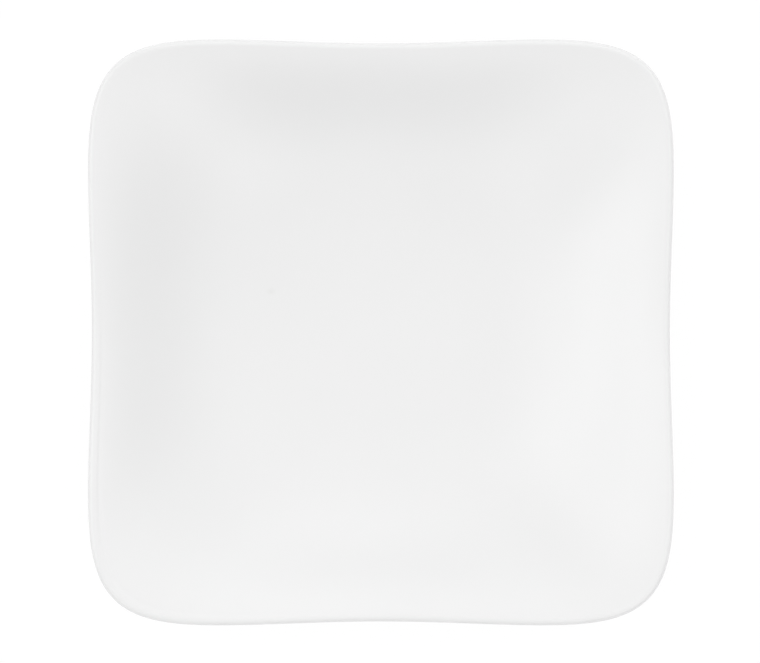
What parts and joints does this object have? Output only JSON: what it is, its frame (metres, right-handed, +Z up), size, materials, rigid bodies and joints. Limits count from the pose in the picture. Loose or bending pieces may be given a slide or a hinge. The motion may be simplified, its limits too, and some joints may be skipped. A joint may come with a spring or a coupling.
{
  "type": "square dish",
  "caption": "White glazed porcelain dish, square with raised, rounded corners and drawn-in sides, with a rounded well, flared sides and a foot ring, for serving food.",
  "frame": {"origin": "on the table, under the middle of the dish", "axes": "+Z up out of the well, X and Y square to the sides"},
  "size_m": [0.2488, 0.2488, 0.0394],
  "materials": {
    "bisque": "bare fired porcelain, matt",
    "white_glaze": "clear glaze over white porcelain, glossy"
  },
  "bodies": {
    "root": {"porcelain_body": "bisque", "glaze_coat": "white_glaze", "base_glaze": "white_glaze"}
  },
  "joints": []
}
